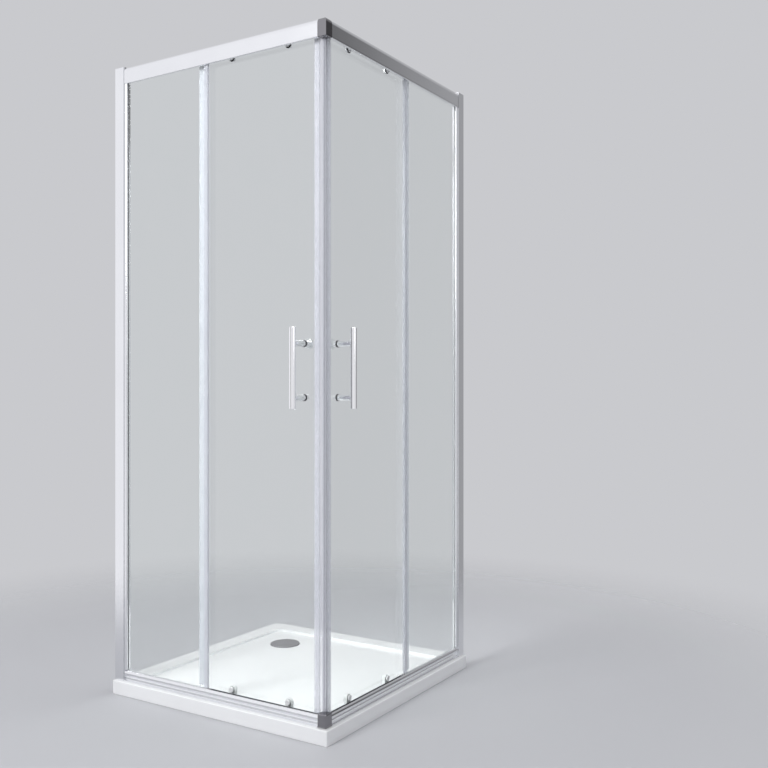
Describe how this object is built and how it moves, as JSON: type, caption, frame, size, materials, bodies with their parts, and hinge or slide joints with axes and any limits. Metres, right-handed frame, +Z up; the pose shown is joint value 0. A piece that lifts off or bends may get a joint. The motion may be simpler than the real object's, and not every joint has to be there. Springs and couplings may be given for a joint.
{
  "type": "shower enclosure",
  "caption": "Square corner-entry shower enclosure on a low tray: fixed clear glass panels and sliding clear glass doors that meet at the corner, in a silver frame with bar handles.",
  "frame": {"origin": "centre of the underside of the tray", "axes": "+Z up; -Y out of the front face and +X out of the side face, so the doors meet at the +X -Y corner; the walls are at -X and +Y"},
  "size_m": [0.824, 0.824, 1.904],
  "materials": {
    "bottom_corner_block": "polished chrome",
    "door_stops": "black rubber",
    "drain_body": "moulded plastic",
    "drain_cover": "satin chrome",
    "drain_seal": "black rubber",
    "fixed_edge_seals": "clear plastic",
    "fixed_glass_gaskets": "light grey rubber",
    "bottom_rail": "polished silver anodised",
    "bottom_wheel": "acetal",
    "door_glass": "clear toughened glass",
    "fixed_glass": "clear toughened glass",
    "glass_bolts": "polished",
    "handle_bar": "polished chrome",
    "handle_knobs": "polished chrome",
    "handle_posts": "polished chrome",
    "handle_washers": "dark soft washer",
    "hangers": "stainless steel",
    "jamb": "satin silver anodised",
    "magnet_seal": "clear plastic",
    "magnet_strip": "white magnetic rubber",
    "roller_carriage": "moulded plastic",
    "roller_housings": "translucent plastic",
    "roller_spring": "spring steel",
    "top_rail": "polished silver anodised",
    "top_wheel": "acetal",
    "trailing_seal": "clear plastic",
    "wall_profile": "satin silver anodised",
    "jamb_screw_caps": "plated",
    "jamb_screws": "zinc plated",
    "rail_screws": "zinc plated",
    "top_corner_block": "polished chrome",
    "tray": "gloss white acrylic"
  },
  "bodies": {
    "frame": {"bottom_corner_block": "bottom_corner_block", "door_stops": "door_stops", "drain_body": "drain_body", "drain_cover": "drain_cover", "drain_seal": "drain_seal", "fixed_edge_seals": "fixed_edge_seals", "fixed_glass_gaskets": "fixed_glass_gaskets", "front_bottom_rail": "bottom_rail", "front_fixed_glass": "fixed_glass", "front_jamb": "jamb", "front_top_rail": "top_rail", "front_wall_profile": "wall_profile", "jamb_screw_caps": "jamb_screw_caps", "jamb_screws": "jamb_screws", "rail_screws": "rail_screws", "side_bottom_rail": "bottom_rail", "side_fixed_glass": "fixed_glass", "side_jamb": "jamb", "side_top_rail": "top_rail", "side_wall_profile": "wall_profile", "top_corner_block": "top_corner_block", "tray": "tray"},
    "front_door": {"front_door_glass": "door_glass", "front_magnet_seal": "magnet_seal", "front_magnet_strip": "magnet_strip", "front_trailing_seal": "trailing_seal", "front_handle_bar": "handle_bar", "front_handle_posts": "handle_posts", "front_handle_washers": "handle_washers", "front_handle_knobs": "handle_knobs", "front_hangers": "hangers", "front_glass_bolts": "glass_bolts", "front_roller_housings": "roller_housings", "front_roller_spring_1": "roller_spring", "front_roller_spring_2": "roller_spring"},
    "front_top_wheel_1": {"front_top_wheel_1": "top_wheel"},
    "front_roller_carriage_1": {"front_roller_carriage_1": "roller_carriage"},
    "front_bottom_wheel_1": {"front_bottom_wheel_1": "bottom_wheel"},
    "front_top_wheel_2": {"front_top_wheel_2": "top_wheel"},
    "front_roller_carriage_2": {"front_roller_carriage_2": "roller_carriage"},
    "front_bottom_wheel_2": {"front_bottom_wheel_2": "bottom_wheel"},
    "side_door": {"side_door_glass": "door_glass", "side_magnet_seal": "magnet_seal", "side_magnet_strip": "magnet_strip", "side_trailing_seal": "trailing_seal", "side_handle_bar": "handle_bar", "side_handle_posts": "handle_posts", "side_handle_washers": "handle_washers", "side_handle_knobs": "handle_knobs", "side_hangers": "hangers", "side_glass_bolts": "glass_bolts", "side_roller_housings": "roller_housings", "side_roller_spring_1": "roller_spring", "side_roller_spring_2": "roller_spring"},
    "side_top_wheel_1": {"side_top_wheel_1": "top_wheel"},
    "side_roller_carriage_1": {"side_roller_carriage_1": "roller_carriage"},
    "side_bottom_wheel_1": {"side_bottom_wheel_1": "bottom_wheel"},
    "side_top_wheel_2": {"side_top_wheel_2": "top_wheel"},
    "side_roller_carriage_2": {"side_roller_carriage_2": "roller_carriage"},
    "side_bottom_wheel_2": {"side_bottom_wheel_2": "bottom_wheel"}
  },
  "joints": [
    {"name": "front_door_slide", "type": "slide", "parent": "frame", "child": "front_door", "axis": [-1, 0, 0], "range_m": [0, 0.275]},
    {"name": "front_top_wheel_1_spin", "type": "hinge", "parent": "front_door", "child": "front_top_wheel_1", "pos_m": [0.245, -0.3545, 1.885], "axis": [0, 1, 0], "continuous": true},
    {"name": "front_roller_carriage_1_lift", "type": "slide", "parent": "front_door", "child": "front_roller_carriage_1", "axis": [0, 0, 1], "range_m": [0, 0.005], "stiffness_N_per_m": 800, "springref_m": -0.004, "deforming": ["front_roller_spring_1"]},
    {"name": "front_bottom_wheel_1_spin", "type": "hinge", "parent": "front_roller_carriage_1", "child": "front_bottom_wheel_1", "pos_m": [0.245, -0.355, 0.0636], "axis": [0, 1, 0], "continuous": true},
    {"name": "front_top_wheel_2_spin", "type": "hinge", "parent": "front_door", "child": "front_top_wheel_2", "pos_m": [0.045, -0.3545, 1.885], "axis": [0, 1, 0], "continuous": true},
    {"name": "front_roller_carriage_2_lift", "type": "slide", "parent": "front_door", "child": "front_roller_carriage_2", "axis": [0, 0, 1], "range_m": [0, 0.005], "stiffness_N_per_m": 800, "springref_m": -0.004, "deforming": ["front_roller_spring_2"]},
    {"name": "front_bottom_wheel_2_spin", "type": "hinge", "parent": "front_roller_carriage_2", "child": "front_bottom_wheel_2", "pos_m": [0.045, -0.355, 0.0636], "axis": [0, 1, 0], "continuous": true},
    {"name": "side_door_slide", "type": "slide", "parent": "frame", "child": "side_door", "axis": [0, 1, 0], "range_m": [0, 0.275]},
    {"name": "side_top_wheel_1_spin", "type": "hinge", "parent": "side_door", "child": "side_top_wheel_1", "pos_m": [0.3545, -0.245, 1.885], "axis": [1, 0, 0], "continuous": true},
    {"name": "side_roller_carriage_1_lift", "type": "slide", "parent": "side_door", "child": "side_roller_carriage_1", "axis": [0, 0, 1], "range_m": [0, 0.005], "stiffness_N_per_m": 800, "springref_m": -0.004, "deforming": ["side_roller_spring_1"]},
    {"name": "side_bottom_wheel_1_spin", "type": "hinge", "parent": "side_roller_carriage_1", "child": "side_bottom_wheel_1", "pos_m": [0.355, -0.245, 0.0636], "axis": [1, 0, 0], "continuous": true},
    {"name": "side_top_wheel_2_spin", "type": "hinge", "parent": "side_door", "child": "side_top_wheel_2", "pos_m": [0.3545, -0.045, 1.885], "axis": [1, 0, 0], "continuous": true},
    {"name": "side_roller_carriage_2_lift", "type": "slide", "parent": "side_door", "child": "side_roller_carriage_2", "axis": [0, 0, 1], "range_m": [0, 0.005], "stiffness_N_per_m": 800, "springref_m": -0.004, "deforming": ["side_roller_spring_2"]},
    {"name": "side_bottom_wheel_2_spin", "type": "hinge", "parent": "side_roller_carriage_2", "child": "side_bottom_wheel_2", "pos_m": [0.355, -0.045, 0.0636], "axis": [1, 0, 0], "continuous": true}
  ],
  "couplings": [
    {"joint": "front_top_wheel_1_spin", "follows": "front_door_slide", "rad_per_m": -138.89},
    {"joint": "front_bottom_wheel_1_spin", "follows": "front_door_slide", "rad_per_m": -158.73},
    {"joint": "front_top_wheel_2_spin", "follows": "front_door_slide", "rad_per_m": -138.89},
    {"joint": "front_bottom_wheel_2_spin", "follows": "front_door_slide", "rad_per_m": -158.73},
    {"joint": "side_top_wheel_1_spin", "follows": "side_door_slide", "rad_per_m": -138.89},
    {"joint": "side_bottom_wheel_1_spin", "follows": "side_door_slide", "rad_per_m": -158.73},
    {"joint": "side_top_wheel_2_spin", "follows": "side_door_slide", "rad_per_m": -138.89},
    {"joint": "side_bottom_wheel_2_spin", "follows": "side_door_slide", "rad_per_m": -158.73}
  ]
}
